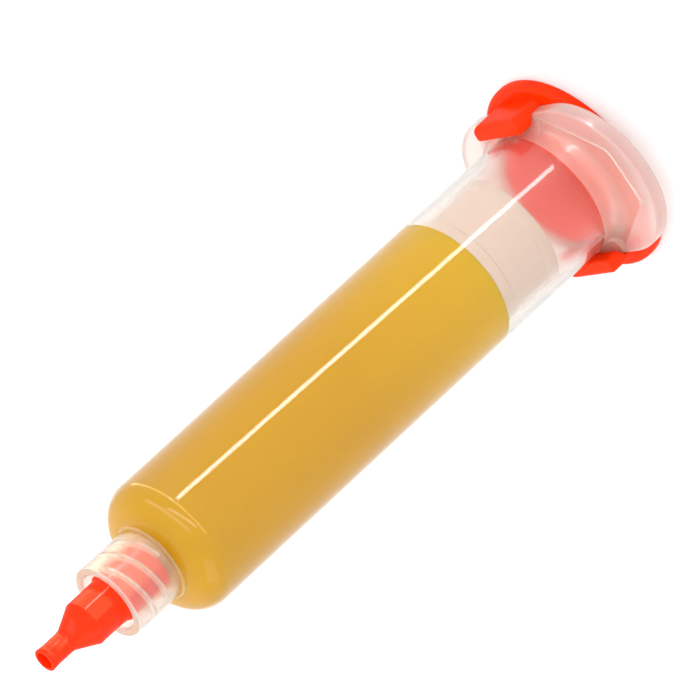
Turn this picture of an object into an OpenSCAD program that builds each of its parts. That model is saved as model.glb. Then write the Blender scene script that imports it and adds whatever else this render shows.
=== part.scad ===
// Ten-millilitre dispensing syringe filled with flux paste, standing on its end cap, tip up.
// Z is the axis of the bore. The ears of the flange point along X, the clips of the end cap along Y.
// The origin is the centre of the end cap's rear face. All sizes are in millimetres.

/* [Barrel] */
// Diameter of the bore that holds the paste
bore_d = 16.0; // [12:0.1:20]
// Thickness of the tube's wall
wall = 1.3; // [0.8:0.1:2.5]
// Length of the barrel, from the flange's rear face to the shoulder that carries the collar
barrel_l = 77.8; // [66:0.2:120]
// Outer radius where the tube turns into the shoulder
shoulder_r = 3.9; // [1:0.1:5]
// Thickness of the wall that closes the front of the bore
nose_wall = 1.5; // [1:0.1:3]

/* [Flange] */
// Thickness of the flange's rim
flange_t = 2.1; // [1.6:0.1:3.5]
// How far the flange's two straight sides stand out from the tube
flange_side = 1.5; // [1:0.1:3]
// How far each ear reaches out from the tube
ear_reach = 8.9; // [7:0.1:14]
// Rounding of the flange's edges
flange_edge_r = 0.4; // [0.2:0.1:0.7]
// Width of the rim between a pocket and the tip of its ear
ear_rim = 3.3; // [2:0.1:4]
// Width of the rim between a pocket and the straight side, where the pocket is widest
side_rim = 0.4; // [0.3:0.1:1]
// Half of the width of a pocket at the tip of its ear
pocket_end_half = 4.0; // [2:0.1:5]
// Depth of the pockets
pocket_depth = 0.9; // [0.4:0.1:1.2]
// Radius of the fillet between the tube and the flange's straight sides
side_fillet = 1.4; // [0.4:0.1:1.4]
// Radius of the fillet between the tube and the floor of a pocket
pocket_fillet = 1.8; // [0.8:0.1:2.4]

/* [Luer lock] */
// Outside diameter of the collar
collar_d = 10.3; // [9.6:0.1:12]
// Length of the collar, from the shoulder to its mouth
collar_l = 7.9; // [6:0.1:10]
// Inside diameter of the collar, at the root of its thread
collar_bore_d = 8.0; // [7.7:0.1:8.4]
// Diameter of the tapered spigot at its tip
spigot_tip_d = 3.98; // [3.9:0.01:4.1]
// How far the spigot stands out of the collar
spigot_reach = 2.1; // [1:0.1:4]
// Taper of the spigot, as growth in diameter for each millimetre of length
luer_taper = 0.06; // [0.04:0.005:0.08]
// Diameter of the outlet through the spigot
outlet_d = 2.4; // [1.6:0.1:2.8]

/* [Piston] */
// Length of empty bore between the end cap's plug and the piston
air_gap = 8.1; // [1:0.1:30]
// Length of the piston between the outer edges of its two lips
piston_l = 9.8; // [7:0.1:12]
// Height of each wiping lip
lip_h = 1.5; // [0.8:0.1:2.2]
// Depth of the waist between the two lips
waist_depth = 0.4; // [0.2:0.1:0.8]
// Thickness of the piston's wall
piston_wall = 1.1; // [0.8:0.1:2]
// How far the piston's domed front stands ahead of its lip
dome_h = 2.5; // [1.5:0.1:3.5]
// Diameter of the flat in the middle of the dome
dome_flat_d = 8.0; // [4:0.5:9]
// Gap between the piston's lips and the bore
piston_clearance = 0.03; // [0.01:0.01:0.1]
// Gap between the piston's front and the paste
paste_clearance = 0.05; // [0.02:0.01:0.2]

/* [End cap] */
// Thickness of the end cap's disc
cap_t = 1.7; // [1.2:0.1:3]
// How far the disc reaches beyond its clips
cap_margin = 2.0; // [1:0.1:4]
// Rounding of the disc's front edge
cap_edge_r = 0.8; // [0.2:0.1:1]
// Height of the plug inside the bore, above the disc
plug_h = 3.9; // [2:0.1:6]
// Wall of the cored plug
plug_wall = 1.5; // [0.8:0.1:2]
// Gap between the plug and the bore
plug_clearance = 0.05; // [0.02:0.01:0.15]
// Width of each clip along its straight side of the flange
clip_w = 9.6; // [5:0.1:11]
// Thickness of a clip's outer wall
clip_wall = 1.0; // [0.7:0.1:2]
// Thickness of a clip's lip over the flange
clip_lip_t = 2.0; // [1.2:0.1:3]
// Rounding of the clips' outer corners
clip_r = 1.0; // [0.3:0.1:1.2]
// Gap between the clips' lips and the tube
lip_gap = 0.35; // [0.15:0.05:0.6]
// Gap between the clips and the flange
clip_clearance = 0.1; // [0.05:0.01:0.2]

/* [Tip cap] */
// Diameter of the tip cap's hub
hub_d = 6.2; // [5.8:0.1:6.4]
// Diameter of the skirt that sits inside the collar
skirt_d = 6.84; // [6.6:0.02:6.9]
// Length of the hub ahead of the spigot's tip
hub_over = 2.1; // [1:0.1:6]
// Length of the cone between the hub and the tube
flare_l = 2.9; // [1.5:0.1:5]
// Outside diameter of the small tube
tube_d = 3.0; // [2.6:0.1:3.6]
// Length of the small tube
tube_l = 4.0; // [2:0.1:8]
// Wall of the small tube
tube_wall = 0.35; // [0.25:0.05:0.6]
// Thickness of the web between the cap's socket and the hole of its tube
web = 2.6; // [1:0.1:4]
// Gap between the cap's socket and the spigot
socket_clearance = 0.04; // [0.02:0.01:0.08]
// Gap between the socket's end and the tip of the spigot
socket_end_gap = 0.4; // [0.1:0.1:0.8]
// Gap between the cap's skirt and the floor of the collar, and between the skirt and its mouth
skirt_gap = 0.7; // [0.3:0.1:1.5]

/* [Hidden] */
$fn = 96;

natural_plastic = [0.95, 0.89, 0.85, 0.5];
piston_plastic = [0.94, 0.87, 0.82];
amber_paste = [0.86, 0.64, 0.2];
orange_red = [1.0, 0.26, 0.12];

// Small chamfer on moulded edges, and how deep one shape is sunk into another that it is fused with
edge = 0.3;
sink = 0.2;

bore_r = bore_d / 2;
tube_r = bore_r + wall;
collar_r = collar_d / 2;
collar_bore_r = collar_bore_d / 2;
outlet_r = outlet_d / 2;
outlet_lead = 0.8;
shoulder_land = 0.2;
shoulder = min(shoulder_r, tube_r - collar_r - shoulder_land);
inner_corner = max(shoulder - wall, 0.6);

flange_z = cap_t;
flange_front = flange_z + flange_t;
pocket_floor = flange_front - pocket_depth;
shoulder_z = flange_z + barrel_l;
bore_end = shoulder_z - nose_wall;
collar_mouth = shoulder_z + collar_l;
spigot_tip = collar_mouth + spigot_reach;

flange_half = tube_r + flange_side;
ear_tip = tube_r + ear_reach;
ear_centre = ear_tip - flange_half;
fillet_r = min(side_fillet, flange_side - 0.1);

plug_r = bore_r - plug_clearance;
plug_top = cap_t + plug_h;
piston_r = bore_r - piston_clearance;
piston_rear = plug_top + air_gap;
lip_front = piston_rear + piston_l;
dome_face = lip_front + dome_h;
lip_land = 0.6;

clip_inner = flange_half + clip_clearance;
clip_outer = clip_inner + clip_wall;
clip_lip = tube_r + lip_gap;
clip_seat = flange_front + clip_clearance;
lip_under = clip_seat + 0.6 * fillet_r;
clip_top = lip_under + clip_lip_t;
cap_r = clip_outer + cap_margin;

skirt_end = shoulder_z + skirt_gap;
skirt_top = collar_mouth - skirt_gap;
socket_end = spigot_tip + socket_end_gap;
hub_end = spigot_tip + hub_over;
tube_start = hub_end + flare_l;
tip_end = tube_start + tube_l;

// Points of an arc about [x, y], from angle a to angle b
function arc(x, y, r, a, b, steps = 8) =
    [for (i = [0 : steps]) let (t = a + (b - a) * i / steps) [x + r * cos(t), y + r * sin(t)]];

// The points of a profile again in reverse order, on the other side of the Y or the X axis
function across_y(points) = [for (i = [len(points) - 1 : -1 : 0]) [-points[i][0], points[i][1]]];
function across_x(points) = [for (i = [len(points) - 1 : -1 : 0]) [points[i][0], -points[i][1]]];

// Radius of the tapered spigot at height z
function spigot_r(z) = (spigot_tip_d + luer_taper * (spigot_tip - z)) / 2;

module revolve(points) {
    rotate_extrude() polygon(points);
}

// A bar with half-round ends and rounded edges, from height z0 to z1
module rounded_stadium(half_w, centre, z0, z1, r) {
    profile = concat(
        arc(half_w - r, z0 + r, r, -90, 0, 4),
        arc(half_w - r, z1 - r, r, 0, 90, 4)
    );
    for (side = [-1, 1])
        translate([side * centre, 0, 0])
            revolve(concat([[0, z0]], profile, [[0, z1]]));
    rotate([90, 0, 90])
        linear_extrude(2 * centre, center = true)
            polygon(concat(profile, across_y(profile)));
}

// The space of the pocket in the ear on the +X side, widest where it ends behind the clips
module ear_pocket() {
    corner = 1.0;
    end_x = ear_tip - ear_rim;
    root_x = clip_w / 2 - edge / 2;
    root_half = flange_half - side_rim;
    slope = atan((root_half - pocket_end_half) / (end_x - root_x));
    upper = arc(end_x - corner, pocket_end_half - corner, corner, 0, 90 - slope, 5);
    translate([0, 0, pocket_floor])
        linear_extrude(pocket_depth + pocket_fillet + 1)
            polygon(concat(across_x(upper), upper, [[root_x, root_half], [root_x, -root_half]]));
}

// A concave fillet round the tube that rises from height z
module tube_fillet(r, z) {
    revolve(concat(
        [[tube_r - sink, z - sink], [tube_r + r, z - sink]],
        arc(tube_r + r, z + r, r, -90, -180, 6),
        [[tube_r - sink, z + r]]
    ));
}

module flange() {
    difference() {
        union() {
            rounded_stadium(flange_half, ear_centre, flange_z, flange_front, flange_edge_r);
            tube_fillet(fillet_r, flange_front);
        }
        for (side = [0, 1])
            mirror([side, 0, 0]) ear_pocket();
    }
    for (side = [0, 1])
        intersection() {
            tube_fillet(pocket_fillet, pocket_floor);
            mirror([side, 0, 0]) translate([0, 0, -sink]) ear_pocket();
        }
}

// Tube, shoulder, collar and spigot, still without the bore
module barrel_outside() {
    collar_edge = 0.2;
    spigot_root = shoulder_z - sink;
    revolve(concat(
        [[0, flange_z + sink], [tube_r, flange_z + sink]],
        arc(tube_r - shoulder, shoulder_z - shoulder, shoulder, 0, 90, 12),
        [[collar_r, shoulder_z], [collar_r, collar_mouth - collar_edge]],
        [[collar_r - collar_edge, collar_mouth], [0, collar_mouth]]
    ));
    translate([0, 0, spigot_root])
        cylinder(h = spigot_tip - spigot_root, r1 = spigot_r(spigot_root), r2 = spigot_r(spigot_tip));
}

// The ring-shaped space between the collar and the spigot
module collar_space() {
    above = collar_mouth + 1;
    revolve([
        [spigot_r(shoulder_z), shoulder_z],
        [collar_bore_r, shoulder_z],
        [collar_bore_r, collar_mouth - edge],
        [collar_bore_r + edge, collar_mouth],
        [collar_bore_r + edge, above],
        [spigot_r(above), above]
    ]);
}

// The front end of the bore's outline: the rounded corner and the funnel into the outlet
function bore_front() = concat(
    arc(bore_r - inner_corner, bore_end - inner_corner, inner_corner, 0, 90, 8),
    [[outlet_r + outlet_lead, bore_end], [outlet_r, bore_end + outlet_lead]]
);

// The whole hollow inside, from the open rear to the tip of the spigot
module bore_space() {
    below = flange_z - 1;
    revolve(concat(
        [[0, below], [bore_r + edge, below], [bore_r + edge, flange_z], [bore_r, flange_z + edge]],
        bore_front(),
        [[outlet_r, spigot_tip + 1], [0, spigot_tip + 1]]
    ));
}

module barrel() {
    color(natural_plastic)
        difference() {
            union() {
                flange();
                barrel_outside();
            }
            collar_space();
            bore_space();
        }
}

// Wiper piston: a domed cup that opens to the rear, with a lip at each end of its skirt
module piston() {
    rear_lead = 0.4;
    lip_edge = 0.2;
    waist_r = piston_r - waist_depth;
    hollow_r = waist_r - piston_wall;
    color(piston_plastic)
        revolve(concat(
            [[hollow_r, piston_rear + rear_lead], [hollow_r + rear_lead, piston_rear]],
            [[piston_r - edge, piston_rear], [piston_r, piston_rear + edge]],
            [[piston_r, piston_rear + lip_h], [waist_r, piston_rear + lip_h + waist_depth]],
            [[waist_r, lip_front - lip_h - waist_depth], [piston_r, lip_front - lip_h]],
            [[piston_r, lip_front - lip_edge], [piston_r - lip_edge, lip_front], [piston_r - lip_land, lip_front]],
            [[dome_flat_d / 2, dome_face], [0, dome_face], [0, dome_face - piston_wall]],
            [[dome_flat_d / 2 - piston_wall / 2, dome_face - piston_wall], [hollow_r, lip_front - piston_wall]]
        ));
}

// The paste fills the bore ahead of the piston and stands in the outlet, just below its end
module flux_paste() {
    paste_rear = lip_front + paste_clearance;
    paste_tip = spigot_tip - 0.2;
    color(amber_paste)
        revolve(concat(
            [[0, paste_rear + dome_h], [dome_flat_d / 2, paste_rear + dome_h], [piston_r - lip_land, paste_rear]],
            [[bore_r, paste_rear]],
            bore_front(),
            [[outlet_r, paste_tip], [0, paste_tip]]
        ));
}

// One clip on the +Y side: a straight wall beside the flange with a lip over its front
module clip() {
    half_w = clip_w / 2;
    foot = clip_inner - 0.6;
    foot_z = cap_t / 2;
    lip_r = 0.4;
    outer_corner = 1.3;
    inner_corner = 0.5;
    side = concat(
        arc(half_w - inner_corner, clip_lip + inner_corner, inner_corner, -90, 0, 4),
        arc(half_w - outer_corner, clip_outer - outer_corner, outer_corner, 0, 90, 6)
    );
    intersection() {
        rotate([90, 0, 90])
            linear_extrude(clip_w, center = true)
                polygon(concat(
                    [[foot, foot_z], [clip_outer, foot_z]],
                    arc(clip_outer - clip_r, clip_top - clip_r, clip_r, 0, 90, 5),
                    arc(clip_lip + lip_r, clip_top - lip_r, lip_r, 90, 180, 3),
                    [[clip_lip, lip_under], [clip_inner, clip_seat], [clip_inner, cap_t], [foot, cap_t]]
                ));
        linear_extrude(clip_top + 1)
            polygon(concat(side, across_y(side)));
    }
}

// Clip-on end cap: disc, cored plug and two clips, moulded in one piece
module end_cap() {
    plug_lead = 0.55;
    core_corner = 0.5;
    core_r = plug_r - plug_wall;
    core_top = plug_top - plug_wall;
    edge_r = min(cap_edge_r, cap_t - 2 * edge);
    color(orange_red) {
        revolve(concat(
            [[core_r + edge, 0]],
            arc(cap_r - edge, edge, edge, -90, 0, 3),
            arc(cap_r - edge_r, cap_t - edge_r, edge_r, 0, 90, 5),
            [[plug_r, cap_t], [plug_r, plug_top - plug_lead], [plug_r - plug_lead, plug_top], [0, plug_top]],
            [[0, core_top], [core_r - core_corner, core_top], [core_r, core_top - core_corner], [core_r, edge]]
        ));
        for (side = [0, 1])
            mirror([0, side, 0]) clip();
    }
}

// Tip cap: a socket over the spigot, a hub, a cone with a hollow neck and a small open tube
module tip_cap() {
    hub_r = hub_d / 2;
    skirt_r = skirt_d / 2;
    tip_r = tube_d / 2;
    skirt_edge = 0.2;
    hub_edge = 0.1;
    bead = 0.08;
    socket_r = spigot_r(skirt_end) + socket_clearance;
    socket_end_r = spigot_r(spigot_tip) + socket_clearance;
    hole_r = tip_r - tube_wall;
    hole_end = socket_end + web;
    neck = tube_start - flare_l / 4;
    color(orange_red)
        revolve(concat(
            [[socket_r + skirt_edge, skirt_end], [skirt_r - skirt_edge, skirt_end], [skirt_r, skirt_end + skirt_edge]],
            [[skirt_r, skirt_top - (skirt_r - hub_r)], [hub_r, skirt_top]],
            [[hub_r, hub_end - edge], [hub_r - hub_edge, hub_end]],
            [[tip_r + 0.45, neck], [tip_r + 0.14, tube_start - 0.2], [tip_r, tube_start + 0.5]],
            [[tip_r, tip_end - 1], [tip_r + bead, tip_end - bead], [tip_r, tip_end]],
            [[hole_r, tip_end], [hole_r, hole_end], [0, hole_end - hole_r / 2]],
            [[0, socket_end], [socket_end_r, socket_end], [socket_end_r, spigot_tip]],
            [[socket_r, skirt_end + skirt_edge]]
        ));
}

barrel();
piston();
flux_paste();
end_cap();
tip_cap();
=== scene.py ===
import math
import bpy
from mathutils import Euler, Matrix, Vector


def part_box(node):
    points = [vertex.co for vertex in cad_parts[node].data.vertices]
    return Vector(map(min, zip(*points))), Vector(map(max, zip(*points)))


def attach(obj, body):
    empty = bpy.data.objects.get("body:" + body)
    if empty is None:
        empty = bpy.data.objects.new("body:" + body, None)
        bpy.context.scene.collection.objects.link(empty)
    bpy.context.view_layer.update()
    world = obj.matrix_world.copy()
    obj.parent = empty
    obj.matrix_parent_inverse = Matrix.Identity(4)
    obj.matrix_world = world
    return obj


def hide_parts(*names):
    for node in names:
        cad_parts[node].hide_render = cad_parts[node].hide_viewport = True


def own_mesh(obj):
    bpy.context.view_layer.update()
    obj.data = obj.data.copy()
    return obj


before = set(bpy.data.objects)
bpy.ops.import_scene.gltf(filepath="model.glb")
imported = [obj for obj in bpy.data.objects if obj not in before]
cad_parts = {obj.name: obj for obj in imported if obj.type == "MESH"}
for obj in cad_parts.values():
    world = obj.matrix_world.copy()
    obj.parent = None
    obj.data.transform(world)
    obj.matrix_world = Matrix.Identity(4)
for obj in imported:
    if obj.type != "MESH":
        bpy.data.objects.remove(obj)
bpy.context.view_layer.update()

# The barrel is one moulding of natural polypropylene: the tube with its bore, a round shoulder that
# carries the luer lock's collar and spigot, and an oval flange with a pocket sunk in each ear. The
# tube is clear where paste wets it and frosted inside where it is dry.

mm = 0.001
near = 0.01 * mm
sink = 0.2 * mm
turn_steps = 144
barrel_low, barrel_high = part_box("barrel")
paste_low, paste_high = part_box("flux_paste")
bore_r = paste_high.x
wall = 1.3 * mm
tube_r = bore_r + wall
flange_z = barrel_low.z
flange_t = 2.1 * mm
flange_front = flange_z + flange_t
flange_half = barrel_high.y
flange_edge_r = 0.4 * mm
ear_tip = barrel_high.x
ear_centre = ear_tip - flange_half
pocket_floor = flange_front - 0.9 * mm
side_fillet = 1.4 * mm
pocket_fillet = 1.8 * mm
fillet_top = flange_front + 2 * mm
mid_tube = flange_front + 30 * mm
shoulder_z = flange_z + 77.8 * mm
shoulder_r = 3.9 * mm
bore_end = shoulder_z - 1.5 * mm
collar_r = 5.15 * mm
collar_bore_r = 4.0 * mm
collar_mouth = shoulder_z + 7.9 * mm
collar_foot_r = 0.3 * mm
collar_edge_r = 0.25 * mm
mouth_chamfer = 0.3 * mm
spigot_tip = barrel_high.z
spigot_tip_r = 1.99 * mm
spigot_edge_r = 0.15 * mm
luer_taper = 0.03
outlet_r = 1.2 * mm
funnel = 0.8 * mm
rear_chamfer = 0.3 * mm
inner_corner = shoulder_r - wall


def arc(x, z, r, start, end, steps=8):
    """Points of an arc about (x, z), from one angle to another in degrees."""
    turns = [math.radians(start + (end - start) * i / steps) for i in range(steps + 1)]
    return [(x + r * math.cos(t), z + r * math.sin(t)) for t in turns]


def single_point(name, place):
    """A new piece in edit mode that is one selected point: a plane merged at its centre."""
    bpy.ops.object.select_all(action="DESELECT")
    bpy.ops.mesh.primitive_plane_add(size=mm, location=(0, 0, 0))
    piece = bpy.context.object
    piece.name = name
    bpy.ops.object.mode_set(mode="EDIT")
    bpy.ops.mesh.select_mode(type="VERT")
    bpy.ops.mesh.merge(type="CENTER")
    bpy.ops.transform.translate(value=place)
    return piece


def drawn(name, points):
    """A new piece in edit mode whose points are extruded one from the other along a line."""
    piece = single_point(name, points[0])
    for a, b in zip(points, points[1:]):
        step = tuple(q - p for p, q in zip(a, b))
        bpy.ops.mesh.extrude_vertices_move(TRANSFORM_OT_translate={"value": step})
    bpy.ops.mesh.select_all(action="SELECT")
    return piece


def closed_up():
    """Merges doubled points in edit mode, turns all faces outwards and leaves edit mode."""
    bpy.ops.mesh.select_all(action="SELECT")
    bpy.ops.mesh.remove_doubles(threshold=0.0005 * mm)
    bpy.ops.mesh.normals_make_consistent(inside=False)
    bpy.ops.object.mode_set(mode="OBJECT")


def turned(name, outline, steps=turn_steps):
    """A piece of revolution: an outline of (radius, height) is drawn and spun about Z."""
    piece = drawn(name, [(r, 0, z) for r, z in outline])
    bpy.ops.mesh.spin(steps=steps, angle=math.tau, center=(0, 0, 0), axis=(0, 0, 1))
    closed_up()
    return piece


def ring(name, outline):
    """A turned piece with a hole through it: its outline comes back to where it starts."""
    return turned(name, outline + outline[:1])


def prism(name, points, along):
    """A flat outline, drawn, filled and extruded along a direction."""
    piece = drawn(name, points)
    bpy.ops.mesh.edge_face_add()
    bpy.ops.mesh.extrude_region_move(TRANSFORM_OT_translate={"value": along})
    closed_up()
    return piece


def choose_edges(piece, wanted):
    """In edit mode, selects only the edges whose two ends both pass the test."""
    bpy.ops.mesh.select_all(action="DESELECT")
    bpy.ops.object.mode_set(mode="OBJECT")
    mesh = piece.data
    for edge in mesh.edges:
        edge.select = all(wanted(mesh.vertices[i].co) for i in edge.vertices)
    for face in mesh.polygons:
        face.select = False
    for point in mesh.vertices:
        point.select = wanted(point.co)
    bpy.ops.object.mode_set(mode="EDIT")


def edit(piece):
    """Makes the piece the only selected one and enters edit mode in edge selection."""
    bpy.ops.object.select_all(action="DESELECT")
    bpy.context.view_layer.objects.active = piece
    piece.select_set(True)
    bpy.ops.object.mode_set(mode="EDIT")
    bpy.ops.mesh.select_mode(type="EDGE")


def modify(piece, kind, **settings):
    """Adds a modifier with its settings and applies it."""
    bpy.ops.object.select_all(action="DESELECT")
    bpy.context.view_layer.objects.active = piece
    piece.select_set(True)
    bpy.ops.object.modifier_add(type=kind)
    modifier = piece.modifiers[-1]
    for name, value in settings.items():
        setattr(modifier, name, value)
    bpy.ops.object.modifier_apply(modifier=modifier.name)


def combine(piece, other, operation):
    """Joins the other solid to the piece, cuts it off or keeps what both share."""
    modify(piece, "BOOLEAN", operation=operation, solver="EXACT", object=other)
    bpy.data.objects.remove(other)


def copied(piece, name, mirrored):
    """A copy with its own mesh, mirrored through the plane across one axis."""
    twin = piece.copy()
    twin.data = piece.data.copy()
    twin.name = name
    bpy.context.scene.collection.objects.link(twin)
    edit(twin)
    bpy.ops.mesh.select_all(action="SELECT")
    bpy.ops.transform.mirror(constraint_axis=mirrored, center_override=(0, 0, 0))
    closed_up()
    return twin


def smoothed(piece, degrees):
    """Shades the piece smooth up to an angle, and keeps the large faces true beside small ones."""
    bpy.ops.object.select_all(action="DESELECT")
    bpy.context.view_layer.objects.active = piece
    piece.select_set(True)
    bpy.ops.object.shade_smooth_by_angle(angle=math.radians(degrees))
    modify(piece, "WEIGHTED_NORMAL", mode="FACE_AREA", keep_sharp=True)


def spigot_r(z):
    """Radius of the tapered spigot at a height."""
    return spigot_tip_r + luer_taper * (spigot_tip - z)


def flange_plate():
    """A disc cut in half, the half moved out to its ear, drawn back to the middle and mirrored."""
    bpy.ops.object.select_all(action="DESELECT")
    middle = (flange_z + flange_front) / 2
    bpy.ops.mesh.primitive_cylinder_add(
        vertices=128, radius=flange_half, depth=flange_t, location=(0, 0, middle)
    )
    plate = bpy.context.object
    plate.name = "barrel_moulding"
    bpy.ops.object.transform_apply(location=True)
    edit(plate)
    bpy.ops.mesh.select_all(action="SELECT")
    bpy.ops.mesh.bisect(plane_co=(0, 0, 0), plane_no=(1, 0, 0), clear_inner=True)
    bpy.ops.mesh.select_all(action="SELECT")
    bpy.ops.transform.translate(value=(ear_centre, 0, 0))
    choose_edges(plate, lambda p: p.x < ear_centre + near)
    bpy.ops.mesh.extrude_edges_move(TRANSFORM_OT_translate={"value": (-ear_centre, 0, 0)})
    bpy.ops.object.mode_set(mode="OBJECT")
    modify(plate, "MIRROR", use_axis=(True, False, False), merge_threshold=0.001 * mm)
    edit(plate)
    bpy.ops.mesh.select_all(action="SELECT")
    bpy.ops.mesh.dissolve_limited(angle_limit=math.radians(0.1))
    bpy.ops.mesh.select_all(action="DESELECT")
    bpy.ops.mesh.edges_select_sharp(sharpness=math.radians(60))
    bpy.ops.mesh.bevel(offset=flange_edge_r, segments=4)
    closed_up()
    return plate


def wall_fillet(r, z):
    """A short post as wide as the tube, with a concave fillet down to a height."""
    return turned("fillet", [
        (0, z - sink),
        (tube_r + r, z - sink),
        *arc(tube_r + r, z + r, r, -90, -180, 6),
        (tube_r - sink, z + r),
        (tube_r - sink, fillet_top),
        (0, fillet_top),
    ])


def ear_pocket():
    """The space of one pocket: a wedge with rounded corners and edges, less the tube's fillet."""
    end_x = ear_tip - 3.3 * mm
    end_half = 4.0 * mm
    root_x = 4.65 * mm
    root_half = flange_half - 0.4 * mm
    corner_r = 1.0 * mm
    floor_edge_r = 0.25 * mm
    space_h = 4 * mm
    space = prism("pocket", [
        (end_x, -end_half, pocket_floor),
        (end_x, end_half, pocket_floor),
        (root_x, root_half, pocket_floor),
        (root_x, -root_half, pocket_floor),
    ], (0, 0, space_h))
    edit(space)
    for side in (1, -1):
        choose_edges(space, lambda p: p.x > end_x - near and p.y * side > end_half / 2)
        bpy.ops.mesh.bevel(offset=corner_r, segments=6)
    choose_edges(space, lambda p: p.z < pocket_floor + near)
    bpy.ops.mesh.bevel(offset=floor_edge_r, segments=3)
    closed_up()
    combine(space, wall_fillet(pocket_fillet, pocket_floor), "DIFFERENCE")
    return space


def thread_ridge(phase):
    """One start of the collar's thread: a small ridge wound round by a screw, with closed ends."""
    lead = 5.0 * mm
    turns = 1.15
    steps = round(96 * turns)
    crest_r = 3.5 * mm
    foot_r = collar_bore_r + 0.25 * mm
    low = shoulder_z + 0.75 * mm
    crest = 0.22 * mm
    foot = 0.5 * mm
    ridge = drawn("thread", [
        (crest_r, 0, low - crest), (foot_r, 0, low - foot),
        (foot_r, 0, low + foot), (crest_r, 0, low + crest),
    ])
    bpy.ops.mesh.edge_face_add()
    bpy.ops.mesh.delete(type="ONLY_FACE")
    bpy.ops.mesh.select_all(action="SELECT")
    bpy.ops.transform.rotate(value=-phase, orient_axis="Z", center_override=(0, 0, 0))
    bpy.ops.object.mode_set(mode="OBJECT")
    modify(ridge, "SCREW", angle=math.tau * turns, screw_offset=lead * turns, steps=steps,
           render_steps=steps, use_merge_vertices=True)
    edit(ridge)
    bpy.ops.mesh.select_all(action="SELECT")
    bpy.ops.mesh.fill_holes(sides=4)
    closed_up()
    return ridge


barrel = flange_plate()
combine(barrel, wall_fillet(side_fillet, flange_front), "UNION")
pocket_space = ear_pocket()
combine(barrel, copied(pocket_space, "pocket_2", (True, False, False)), "DIFFERENCE")
combine(barrel, pocket_space, "DIFFERENCE")

outside = turned("outside", [
    (0, flange_z + sink),
    (tube_r, flange_z + sink),
    (tube_r, fillet_top + 0.1 * mm),
    (tube_r, mid_tube),
    *arc(tube_r - shoulder_r, shoulder_z - shoulder_r, shoulder_r, 0, 90, 16),
    *arc(collar_r + collar_foot_r, shoulder_z + collar_foot_r, collar_foot_r, -90, -180, 4),
    *arc(collar_r - collar_edge_r, collar_mouth - collar_edge_r, collar_edge_r, 0, 90, 4),
    (spigot_r(collar_mouth), collar_mouth),
    *arc(spigot_tip_r - spigot_edge_r, spigot_tip - spigot_edge_r, spigot_edge_r, 0, 90, 3),
    (0, spigot_tip),
])
combine(barrel, outside, "UNION")
collar_space = ring("collar_space", [
    (spigot_r(shoulder_z), shoulder_z),
    (collar_bore_r, shoulder_z),
    (collar_bore_r, collar_mouth - mouth_chamfer),
    (collar_bore_r + mouth_chamfer, collar_mouth),
    (collar_bore_r + mouth_chamfer, collar_mouth + mm),
    (spigot_r(collar_mouth + mm), collar_mouth + mm),
])
for phase in (math.radians(17.5), math.radians(197.5)):
    combine(collar_space, thread_ridge(phase), "DIFFERENCE")
combine(barrel, collar_space, "DIFFERENCE")
bore = turned("bore", [
    (0, flange_z - mm),
    (bore_r + rear_chamfer, flange_z - mm),
    (bore_r + rear_chamfer, flange_z),
    (bore_r, flange_z + rear_chamfer),
    (bore_r, mid_tube),
    *arc(bore_r - inner_corner, bore_end - inner_corner, inner_corner, 0, 90, 10),
    (outlet_r + funnel, bore_end),
    (outlet_r, bore_end + funnel),
    (outlet_r, spigot_tip + mm),
    (0, spigot_tip + mm),
])
# Turned by half a step, so that its corners don't fall on the spokes of the spigot's end.
edit(bore)
bpy.ops.mesh.select_all(action="SELECT")
bpy.ops.transform.rotate(value=math.pi / turn_steps, orient_axis="Z", center_override=(0, 0, 0))
bpy.ops.object.mode_set(mode="OBJECT")
combine(barrel, bore, "DIFFERENCE")
edit(barrel)
closed_up()
smoothed(barrel, 28)


class Wire:
    """One value in a material. Its operators add Math nodes, and node() adds any other node."""

    def __init__(self, tree, socket=None):
        self.tree = tree
        self.socket = socket

    def node(self, kind, settings, inputs, output=0):
        """A new node with its settings and the values or links of its sockets."""
        made = self.tree.nodes.new(kind)
        for name, value in settings.items():
            setattr(made, name, value)
        for name, value in inputs.items():
            if isinstance(value, Wire):
                self.tree.links.new(value.socket, made.inputs[name])
            else:
                made.inputs[name].default_value = value
        return Wire(self.tree, made.outputs[output])

    def maths(self, operation, first, second):
        """A Math node on two values."""
        return self.node("ShaderNodeMath", {"operation": operation}, {0: first, 1: second})

    def __add__(self, other):
        return self.maths("ADD", self, other)

    __radd__ = __add__

    def __mul__(self, other):
        return self.maths("MULTIPLY", self, other)

    __rmul__ = __mul__


def new_finish(name):
    """An empty material with its output node, and the wire that nodes are added from."""
    material = bpy.data.materials.new(name)
    material.use_nodes = True
    material.node_tree.nodes.clear()
    return material, Wire(material.node_tree)


def noise(at, scale, stretch=(1, 1, 1), detail=3.0, roughness=0.5):
    """A noise value from 0 to 1, on Object coordinates, with its own scale along each axis."""
    place = at.node("ShaderNodeTexCoord", {}, {}, "Object")
    place = at.node("ShaderNodeMapping", {}, {"Vector": place, "Scale": stretch})
    return at.node("ShaderNodeTexNoise", {}, {
        "Vector": place, "Scale": scale, "Detail": detail, "Roughness": roughness,
    })


def mixed(share, first, second):
    """A colour between two others."""
    return share.node("ShaderNodeMix", {"data_type": "RGBA"}, {0: share, 6: first, 7: second}, 2)


def bump(height, strength, distance):
    """A normal bent by a height."""
    return height.node("ShaderNodeBump", {}, {
        "Height": height, "Strength": strength, "Distance": distance,
    })


def principled(at, **inputs):
    """A Principled shader whose sockets are named with underscores."""
    sockets = {name.replace("_", " "): value for name, value in inputs.items()}
    return at.node("ShaderNodeBsdfPrincipled", {}, sockets)


def ended(material, shader):
    """Leads a shader to the material's output."""
    output = shader.tree.nodes.new("ShaderNodeOutputMaterial")
    shader.tree.links.new(shader.socket, output.inputs["Surface"])
    return material


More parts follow.
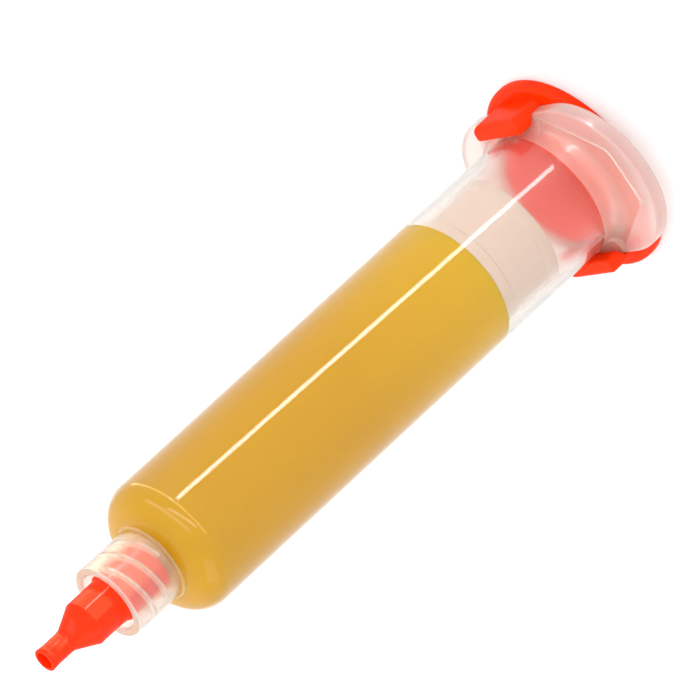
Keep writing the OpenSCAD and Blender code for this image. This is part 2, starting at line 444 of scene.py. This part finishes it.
def lit_through(shader, share):
    """Lets a share of the lamps' light straight through, as a thin clear wall does."""
    clear = shader.node("ShaderNodeBsdfTransparent", {}, {"Color": (share, share, share, 1)})
    shadow = shader.node("ShaderNodeLightPath", {}, {}, "Is Shadow Ray")
    return shader.node("ShaderNodeMixShader", {}, {0: shadow, 1: shader, 2: clear})


def toned(at, face_on, rim):
    """A colour that deepens where the wall is seen edge on: partly the longer path through the plastic,
    partly painted shade.
    """
    edge = at.node("ShaderNodeLayerWeight", {}, {"Blend": 0.35}, "Facing")
    return mixed(edge * edge, face_on, rim)


def clear_plastic():
    """The glossy outside of the tube."""
    material, at = new_finish("clear_plastic")
    cloud = noise(at, 60.0, (1, 1, 0.2))
    face_on = mixed(cloud, (1.0, 0.99, 0.98, 1), (1.0, 0.98, 0.96, 1))
    return ended(material, lit_through(principled(
        at,
        # The browner colour edge on is partly painted shade on the tube's edges.
        Base_Color=toned(at, face_on, (0.6, 0.42, 0.27, 1)),
        Roughness=0.05 + 0.05 * cloud,
        IOR=1.49,
        Transmission_Weight=1.0,
        Normal=bump(noise(at, 25.0, (1, 1, 0.15), 2.0), 0.06, 0.2 * mm),
    ), 1.0))


def cloudy_plastic(name, colour, share, roughness, gloss=0.0):
    """Polypropylene whose surface lets a share of the light through and scatters the rest."""
    material, at = new_finish(name)
    cloud = noise(at, 140.0, (1, 1, 0.4), 4.0)
    dull = tuple(c * 0.97 for c in colour) + (1,)
    # The deeper colour edge on is partly painted shade on the wall's edges.
    rim = tuple(c * fade for c, fade in zip(colour, (0.8, 0.68, 0.54))) + (1,)
    return ended(material, lit_through(principled(
        at,
        Base_Color=toned(at, mixed(cloud, dull, colour + (1,)), rim),
        Roughness=roughness - 0.05 + 0.1 * cloud,
        IOR=1.49,
        Transmission_Weight=share,
        Coat_Weight=gloss,
        Coat_Roughness=0.08,
        Normal=bump(noise(at, 400.0, (1, 1, 1), 2.0), 0.1, 0.05 * mm),
    ), 0.97))


finishes = (
    clear_plastic(),
    cloudy_plastic("dry_bore", (1.0, 0.93, 0.88), 0.9, 0.2),
    cloudy_plastic("milky_flange", (1.0, 0.9, 0.86), 0.7, 0.35, 0.6),
    cloudy_plastic("matt_skin", (1.0, 0.95, 0.91), 0.85, 0.7),
    cloudy_plastic("milky_collar", (0.98, 0.88, 0.79), 0.93, 0.24, 0.1),
    cloudy_plastic("thread_ridge", (1.0, 0.94, 0.88), 0.65, 0.25),
    # Round the tube's foot the natural plastic is tinted pink: a painted glow standing in for the red
    # end cap's light coming up through it.
    cloudy_plastic("flange_root_painted_glow", (1.0, 0.66, 0.57), 0.6, 0.35, 0.4),
)
clear, dry, milky, matt, collar, thread, painted_glow_root = range(len(finishes))
painted_glow_reach = 2.1 * mm
thread_margin = 0.5 * mm


def finish_at(face):
    """Which of the finishes a face of the barrel has, by its place and the way that it faces."""
    z = face.center.z
    r = math.hypot(face.center.x, face.center.y)
    inwards = face.normal.x * face.center.x + face.normal.y * face.center.y < 0
    if z > shoulder_z - near and r < collar_r + collar_foot_r:
        if z > collar_mouth - collar_edge_r and r > collar_bore_r:
            return milky
        if r > collar_r + 2 * near:
            return matt
        in_thread = spigot_r(z) + thread_margin < r < collar_bore_r - 3 * near
        return thread if in_thread and z < collar_mouth - thread_margin else collar
    if r < bore_r + rear_chamfer + 2 * near and (inwards or face.normal.z < -0.1 and z > flange_front):
        return dry
    if z < flange_z + near:
        return matt
    if z < fillet_top - 0.1 * mm:
        # The flange's foot round the tube gets the pink painted glow of the red cap under it.
        return painted_glow_root if r < tube_r + painted_glow_reach else milky
    return clear


for finish in finishes:
    barrel.data.materials.append(finish)
for face in barrel.data.polygons:
    face.material_index = finish_at(face)
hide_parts("barrel")
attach(barrel, "barrel")

# The piston is a domed cup of natural polyethylene, moulded with a wiping lip at each end of its
# skirt. It was pressed in from the rear onto the paste, and air drives it forward.

piston_low, piston_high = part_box("piston")
piston_r = piston_high.x
lip_front = piston_high.z - 2.5 * mm
lip_h = 1.5 * mm
lip_edge_r = 0.15 * mm
dome_r = piston_r - 0.6 * mm
crown_r = 3.6 * mm
crown_edge_r = 0.6 * mm
hollow_crown_r = 3.4 * mm
waist_deep = 0.4 * mm
waist_r = piston_r - waist_deep
cup_wall = 1.1 * mm
hollow_r = waist_r - cup_wall
hollow_chamfer = 0.4 * mm
rear_edge_r = 0.25 * mm
piston = turned("piston_cup", [
    (0, piston_high.z),
    (crown_r, piston_high.z),
    *arc(crown_r, piston_high.z - crown_edge_r, crown_edge_r, 90, 60, 3),
    (dome_r, lip_front),
    *arc(piston_r - lip_edge_r, lip_front - lip_edge_r, lip_edge_r, 90, 0, 3),
    (piston_r, lip_front - lip_h),
    (waist_r, lip_front - lip_h - waist_deep),
    (waist_r, piston_low.z + lip_h + waist_deep),
    (piston_r, piston_low.z + lip_h),
    *arc(piston_r - rear_edge_r, piston_low.z + rear_edge_r, rear_edge_r, 0, -90, 3),
    (hollow_r + hollow_chamfer, piston_low.z),
    (hollow_r, piston_low.z + hollow_chamfer),
    (hollow_r, lip_front - cup_wall),
    (hollow_crown_r, piston_high.z - cup_wall),
    (0, piston_high.z - cup_wall),
])
smoothed(piston, 35)
material, at = new_finish("piston_plastic")
cloud = noise(at, 220.0, (1, 1, 0.5), 4.0)
piston.data.materials.append(ended(material, principled(
    at,
    Base_Color=mixed(cloud, (0.8, 0.65, 0.565, 1), (0.86, 0.735, 0.66, 1)),
    Roughness=0.4 + 0.15 * cloud,
    Specular_IOR_Level=0.1,
    Subsurface_Weight=0.3,
    Subsurface_Radius=(1.0, 0.7, 0.5),
    Subsurface_Scale=1.5 * mm,
    Normal=bump(cloud, 0.2, 0.05 * mm),
)))
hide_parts("piston")
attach(piston, "piston")

# The paste is a wet amber flux that was filled in from the rear and wets the wall of the bore, so it
# stands a hair inside the wall here. Its colour is painted lighter behind: painted light for the light
# that the pale piston lets into it. A thin column of it fills the outlet.

wet = 0.03 * mm
dome_flat = 4.0 * mm
paste_dome = paste_low.z + 2.5 * mm
# How far forward from the paste's rear end its painted light reaches.
painted_backlight_depth = 24 * mm
column_r = outlet_r + wet / 2
column_start = bore_end + wet / 2
column_edge = 0.3 * mm
paste = turned("paste_column", [
    (0, paste_dome),
    (dome_flat, paste_dome),
    (dome_r, paste_low.z),
    (bore_r + wet, paste_low.z),
    *arc(bore_r - inner_corner, bore_end - inner_corner, inner_corner + wet, 0, 90, 12),
    (0, bore_end + wet),
])
outlet_paste = turned("outlet_paste", [
    (0, column_start),
    (outlet_r + funnel, column_start),
    (column_r, bore_end + funnel),
    (column_r, paste_high.z - column_edge),
    (0.6 * outlet_r, paste_high.z),
    (0, paste_high.z),
], 48)
smoothed(paste, 35)
smoothed(outlet_paste, 35)
material, at = new_finish("amber_flux")
smear = noise(at, 45.0, (1, 1, 0.35), 4.0, 0.55)
grain = noise(at, 500.0, (1, 1, 1), 2.0)
place = at.node("ShaderNodeTexCoord", {}, {}, "Object")
height = at.node("ShaderNodeSeparateXYZ", {}, {"Vector": place}, "Z")
# A mask of painted light: one at the paste's rear end, fading to nought a set depth forward.
painted_backlight = at.node("ShaderNodeMapRange", {}, {
    "Value": height, "From Min": paste_low.z, "From Max": paste_low.z + painted_backlight_depth,
    "To Min": 1.0, "To Max": 0.0,
})
amber = mixed(smear, (0.722, 0.38, 0.001, 1), (0.777, 0.46, 0.004, 1))
ended(material, principled(
    at,
    # Towards the rear the amber is painted lighter: painted light from the pale piston behind.
    Base_Color=mixed(painted_backlight, amber, (0.83, 0.52, 0.008, 1)),
    Roughness=0.25 + 0.15 * grain,
    Subsurface_Weight=0.25,
    Subsurface_Radius=(1.0, 0.6, 0.15),
    Subsurface_Scale=2.0 * mm,
    Specular_IOR_Level=0.0,
    Normal=bump(smear, 0.15, 0.3 * mm),
))
for piece in (paste, outlet_paste):
    piece.data.materials.append(material)
    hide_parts("flux_paste")
    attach(piece, "barrel")
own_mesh(paste)

# The end cap is one orange-red polyethylene moulding: a disc, a cored plug that shuts the bore, and two
# straight clips that spring out and hook over the straight sides of the flange.

_, cap_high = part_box("end_cap")
cap_r = cap_high.x
cap_t = flange_z
front_edge_r = 0.8 * mm
disc_edge_r = 0.3 * mm
plug_r = bore_r - 0.05 * mm
plug_top = cap_t + 3.9 * mm
plug_edge_r = 0.55 * mm
plug_foot_r = 0.15 * mm
plug_wall = 1.5 * mm
core_r = plug_r - plug_wall
core_top = plug_top - plug_wall
core_edge_r = 0.5 * mm
clip_t = 1.0 * mm
clip_edge_r = 0.18 * mm
clip_inner = flange_half + 0.1 * mm
clip_outer = clip_inner + clip_t
clip_lip = tube_r + 0.35 * mm
clip_half = 4.8 * mm
lip_under = flange_front + 0.94 * mm


def clip_hook():
    """One clip on the +Y side: its section is extruded across, its plan is cut to round ends."""
    foot = clip_inner - 0.6 * mm
    low = cap_t / 2
    lip_edge = 0.4 * mm
    inner_corner_r = 0.5 * mm
    outer_corner_r = 1.3 * mm
    section = [
        (foot, low), (clip_outer, low),
        *arc(clip_outer - clip_t, cap_high.z - clip_t, clip_t, 0, 90, 6),
        *arc(clip_lip + lip_edge, cap_high.z - lip_edge, lip_edge, 90, 180, 4),
        (clip_lip, lip_under), (clip_inner, flange_front + 0.1 * mm),
        (clip_inner, cap_t), (foot, cap_t),
    ]
    hook = prism("clip", [(-clip_half, y, z) for y, z in section], (2 * clip_half, 0, 0))
    side = [
        *arc(clip_half - inner_corner_r, clip_lip + inner_corner_r, inner_corner_r, -90, 0, 4),
        *arc(clip_half - outer_corner_r, clip_outer - outer_corner_r, outer_corner_r, 0, 90, 8),
    ]
    side += [(-x, y) for x, y in reversed(side)]
    plan = prism("plan", [(x, y, 0) for x, y in side], (0, 0, 10 * mm))
    combine(hook, plan, "INTERSECT")
    modify(hook, "BEVEL", width=clip_edge_r, segments=2, limit_method="ANGLE",
           angle_limit=math.radians(50))
    return hook


end_cap = turned("end_cap_moulding", [
    (0, plug_top),
    *arc(plug_r - plug_edge_r, plug_top - plug_edge_r, plug_edge_r, 90, 0, 4),
    *arc(plug_r + plug_foot_r, cap_t + plug_foot_r, plug_foot_r, 180, 270, 3),
    *arc(cap_r - front_edge_r, cap_t - front_edge_r, front_edge_r, 90, 0, 6),
    *arc(cap_r - disc_edge_r, disc_edge_r, disc_edge_r, 0, -90, 4),
    *arc(core_r + disc_edge_r, disc_edge_r, disc_edge_r, -90, -180, 4),
    *arc(core_r - core_edge_r, core_top - core_edge_r, core_edge_r, 0, 90, 4),
    (0, core_top),
])
clip = clip_hook()
combine(end_cap, copied(clip, "clip_2", (False, True, False)), "UNION")
combine(end_cap, clip, "UNION")
smoothed(end_cap, 32)


def cap_plastic(name, gloss, softness):
    """Orange-red polyethylene with faint flow marks under a glossy skin."""
    material, at = new_finish(name)
    flow = noise(at, 90.0, (1, 1, 0.5), 3.0)
    grain = noise(at, 900.0, (1, 1, 1), 2.0)
    return ended(material, principled(
        at,
        Base_Color=mixed(flow, (0.94, 0.026, 0.0008, 1), (1.0, 0.042, 0.0015, 1)),
        Roughness=0.45 + 0.1 * flow,
        Specular_IOR_Level=0.0,
        Coat_Weight=gloss * (0.85 + 0.3 * flow),
        Coat_Roughness=softness,
        Subsurface_Weight=0.15,
        Subsurface_Radius=(1.0, 0.25, 0.1),
        Subsurface_Scale=1.0 * mm,
        Normal=bump(grain, 0.06, 0.03 * mm),
    ))


end_cap.data.materials.append(cap_plastic("end_cap_plastic", 0.2, 0.2))
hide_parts("end_cap")
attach(end_cap, "barrel")

# The tip cap is pushed onto the spigot: a skirt inside the collar, a hub, a cone with a soft neck and
# a small tube with an open end. It is moulded in the same orange-red plastic.

tip_low, tip_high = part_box("tip_cap")
skirt_r = tip_high.x
skirt_edge_r = 0.2 * mm
skirt_top = collar_mouth - 0.7 * mm
shoulder_h = 0.32 * mm
hub_r = 3.1 * mm
hub_edge_r = 0.25 * mm
hub_end = spigot_tip + 2.1 * mm
neck_r = 2.4 * mm
neck_z = hub_end + 3.6 * mm
tip_tube_r = 1.5 * mm
tip_edge_r = 0.1 * mm
tip_hole_r = 1.15 * mm
tip_hole_chamfer = 0.05 * mm
tip_hole_end = spigot_tip + 3.0 * mm
socket_end = spigot_tip + 0.4 * mm
socket_gap = 0.04 * mm
tip_cap = turned("tip_cap_moulding", [
    (0, socket_end),
    (spigot_tip_r + socket_gap, socket_end),
    (spigot_tip_r + socket_gap, spigot_tip),
    (spigot_r(tip_low.z) + socket_gap, tip_low.z + skirt_edge_r),
    (spigot_r(tip_low.z) + socket_gap + skirt_edge_r, tip_low.z),
    *arc(skirt_r - skirt_edge_r, tip_low.z + skirt_edge_r, skirt_edge_r, -90, 0, 3),
    (skirt_r, skirt_top - shoulder_h),
    (hub_r, skirt_top),
    *arc(hub_r - hub_edge_r, hub_end - hub_edge_r, hub_edge_r, 0, 55, 3),
    *arc(tip_tube_r + neck_r, neck_z, neck_r, 207, 180, 6),
    (tip_tube_r, tip_high.z - mm),
    *arc(tip_tube_r - 0.02 * mm, tip_high.z - tip_edge_r, tip_edge_r, 0, 90, 3),
    (tip_hole_r + tip_hole_chamfer, tip_high.z),
    (tip_hole_r, tip_high.z - tip_hole_chamfer),
    (tip_hole_r, tip_hole_end),
    (0, tip_hole_end - 0.6 * mm),
], 96)
smoothed(tip_cap, 28)
tip_cap.data.materials.append(cap_plastic("tip_cap_plastic", 0.32, 0.1))
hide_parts("tip_cap")
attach(tip_cap, "tip_cap")

# The floor is a plain pale sheet of paper that the syringe stands on, and the air round it is white. The
# camera, glass and gloss see both as white, and they light the syringe at a plain level.

bpy.ops.object.select_all(action="DESELECT")
bpy.ops.mesh.primitive_plane_add(size=12, location=(0, 0, 0))
floor = bpy.context.object
floor.name = "floor"


def seen(at):
    """One where the camera, glass or gloss looks, and nought where a surface is only lit."""
    rays = [at.node("ShaderNodeLightPath", {}, {}, "Is %s Ray" % kind)
            for kind in ("Camera", "Transmission", "Glossy")]
    return rays[0].maths("MAXIMUM", rays[0], rays[1]).maths("MAXIMUM", rays[2], rays[0])


floor_glow = 0.24
material, at = new_finish("floor_paper")
floor.data.materials.append(ended(material, principled(
    at,
    Base_Color=(0.68, 0.68, 0.68, 1),
    Roughness=0.9,
    Specular_IOR_Level=0.0,
    Emission_Color=(1, 1, 1, 1),
    Emission_Strength=floor_glow * seen(at),
)))

air_level = 0.97
world = bpy.data.worlds.new("studio")
bpy.context.scene.world = world
world.use_nodes = True
world.node_tree.nodes.clear()
air = Wire(world.node_tree)
background = air.node("ShaderNodeBackground", {}, {
    "Color": (1, 1, 1, 1), "Strength": air_level + (1 - air_level) * seen(air),
})
output = world.node_tree.nodes.new("ShaderNodeOutputWorld")
world.node_tree.links.new(background.socket, output.inputs["Surface"])

# Four narrow lamps stand in front of the syringe and show only in its gloss: they draw the highlights
# on the tube, the collar, the tip cap and the shoulder. Four broad lamps light the whole softly. A warm
# card just over the floor shows only in gloss too, most of all on the tip cap.


def lamp(name, start, end, target, width, radiance):
    """A rectangular lamp whose long side runs from start to end and that faces a target."""
    start, end, target = Vector(start), Vector(end), Vector(target)
    length = (end - start).length
    data = bpy.data.lights.new(name, "AREA")
    data.shape = "RECTANGLE"
    data.size = width
    data.size_y = length
    data.energy = radiance * math.pi * width * length
    made = bpy.data.objects.new(name, data)
    bpy.context.scene.collection.objects.link(made)
    along = (end - start).normalized()
    back = (start + end) / 2 - target
    back = (back - back.dot(along) * along).normalized()
    turn = Matrix((along.cross(back), along, back)).transposed().to_4x4()
    made.matrix_world = Matrix.Translation((start + end) / 2) @ turn
    made.visible_camera = False
    made.visible_transmission = False
    return made


tube_middle = (0.0075, 0.0055, 0.04)
nose = (0, 0, 0.09)
for name, start, end, target, width, radiance in (
    ("tube_strip", (0.01651, 0.01397, 0.0003), (0.01291, 0.01706, 0.0693), tube_middle, 0.0018, 14),
    ("collar_strip", (0.0724, 0.1588, 0.003), (0.0046, 0.1744, 0.003), nose, 0.022, 0.9),
    ("hub_strip", (0.0765, 0.1717, 0.004), (0.0805, 0.1809, 0.004), nose, 0.02, 50),
    ("shoulder_strip", (0.0354, 0.0569, 0.0905), (0.0673, 0.0142, 0.0686), (0, 0, 0.077), 0.009, 3),
):
    lamp(name, start, end, target, width, radiance).visible_diffuse = False
for name, start, end, target, width, radiance, in_gloss in (
    ("key", (0.7, 0.15, 0.33), (-0.15, 0.75, 0.33), (0, 0, 0.05), 0.13, 1.6, True),
    ("fill", (0.1, -0.9, 0.4), (0.7, -0.6, 0.4), (0, 0, 0.05), 0.5, 0.7, True),
    ("back", (-0.35, -0.45, 0.38), (-0.6, 0.15, 0.38), (0, 0, 0.02), 0.5, 2.6, False),
    ("front", (1.0, -0.1, 0.75), (0.75, 0.7, 0.75), (0, 0, 0.03), 0.6, 1.6, False),
):
    lamp(name, start, end, target, width, radiance).visible_glossy = in_gloss

card_inner = 0.188
card_outer = 0.25
card_z = 2 * mm
card_start = math.radians(7)
card_sweep = math.radians(-150)
card = drawn("side_card", [(card_inner, 0, card_z), (card_outer, 0, card_z)])
bpy.ops.transform.rotate(value=card_start, orient_axis="Z", center_override=(0, 0, 0))
bpy.ops.mesh.spin(steps=24, angle=card_sweep, center=(0, 0, 0), axis=(0, 0, 1))
closed_up()
material, at = new_finish("side_card")
glow = at.node("ShaderNodeEmission", {}, {"Color": (1.0, 0.85, 0.45, 1), "Strength": 6.0})
card.data.materials.append(ended(material, glow))
card.visible_camera = False
card.visible_diffuse = False
card.visible_transmission = False
card.visible_shadow = False

# The camera stands a metre off and looks down on the standing syringe. It is rolled, so that the tip
# points to the lower left as in the photograph.

view_azimuth = math.radians(17.5)
view_elevation = math.radians(26.8)
view_roll = math.radians(-132.6)
view_distance = 1.0
aim = Vector((-0.79, 2.5, 40.43)) * mm
toward = Vector((
    math.cos(view_azimuth) * math.cos(view_elevation),
    math.sin(view_azimuth) * math.cos(view_elevation),
    math.sin(view_elevation),
))
camera_data = bpy.data.cameras.new("camera")
camera_data.sensor_width = 36
camera_data.lens = 420.7
camera = bpy.data.objects.new("camera", camera_data)
bpy.context.scene.collection.objects.link(camera)
upright = Euler((math.pi / 2 - view_elevation, 0, view_azimuth + math.pi / 2)).to_matrix()
turn = (upright @ Matrix.Rotation(view_roll, 3, "Z")).to_4x4()
camera.matrix_world = Matrix.Translation(aim + toward * view_distance) @ turn
bpy.context.scene.camera = camera
bpy.context.scene.view_settings.view_transform = "Standard"
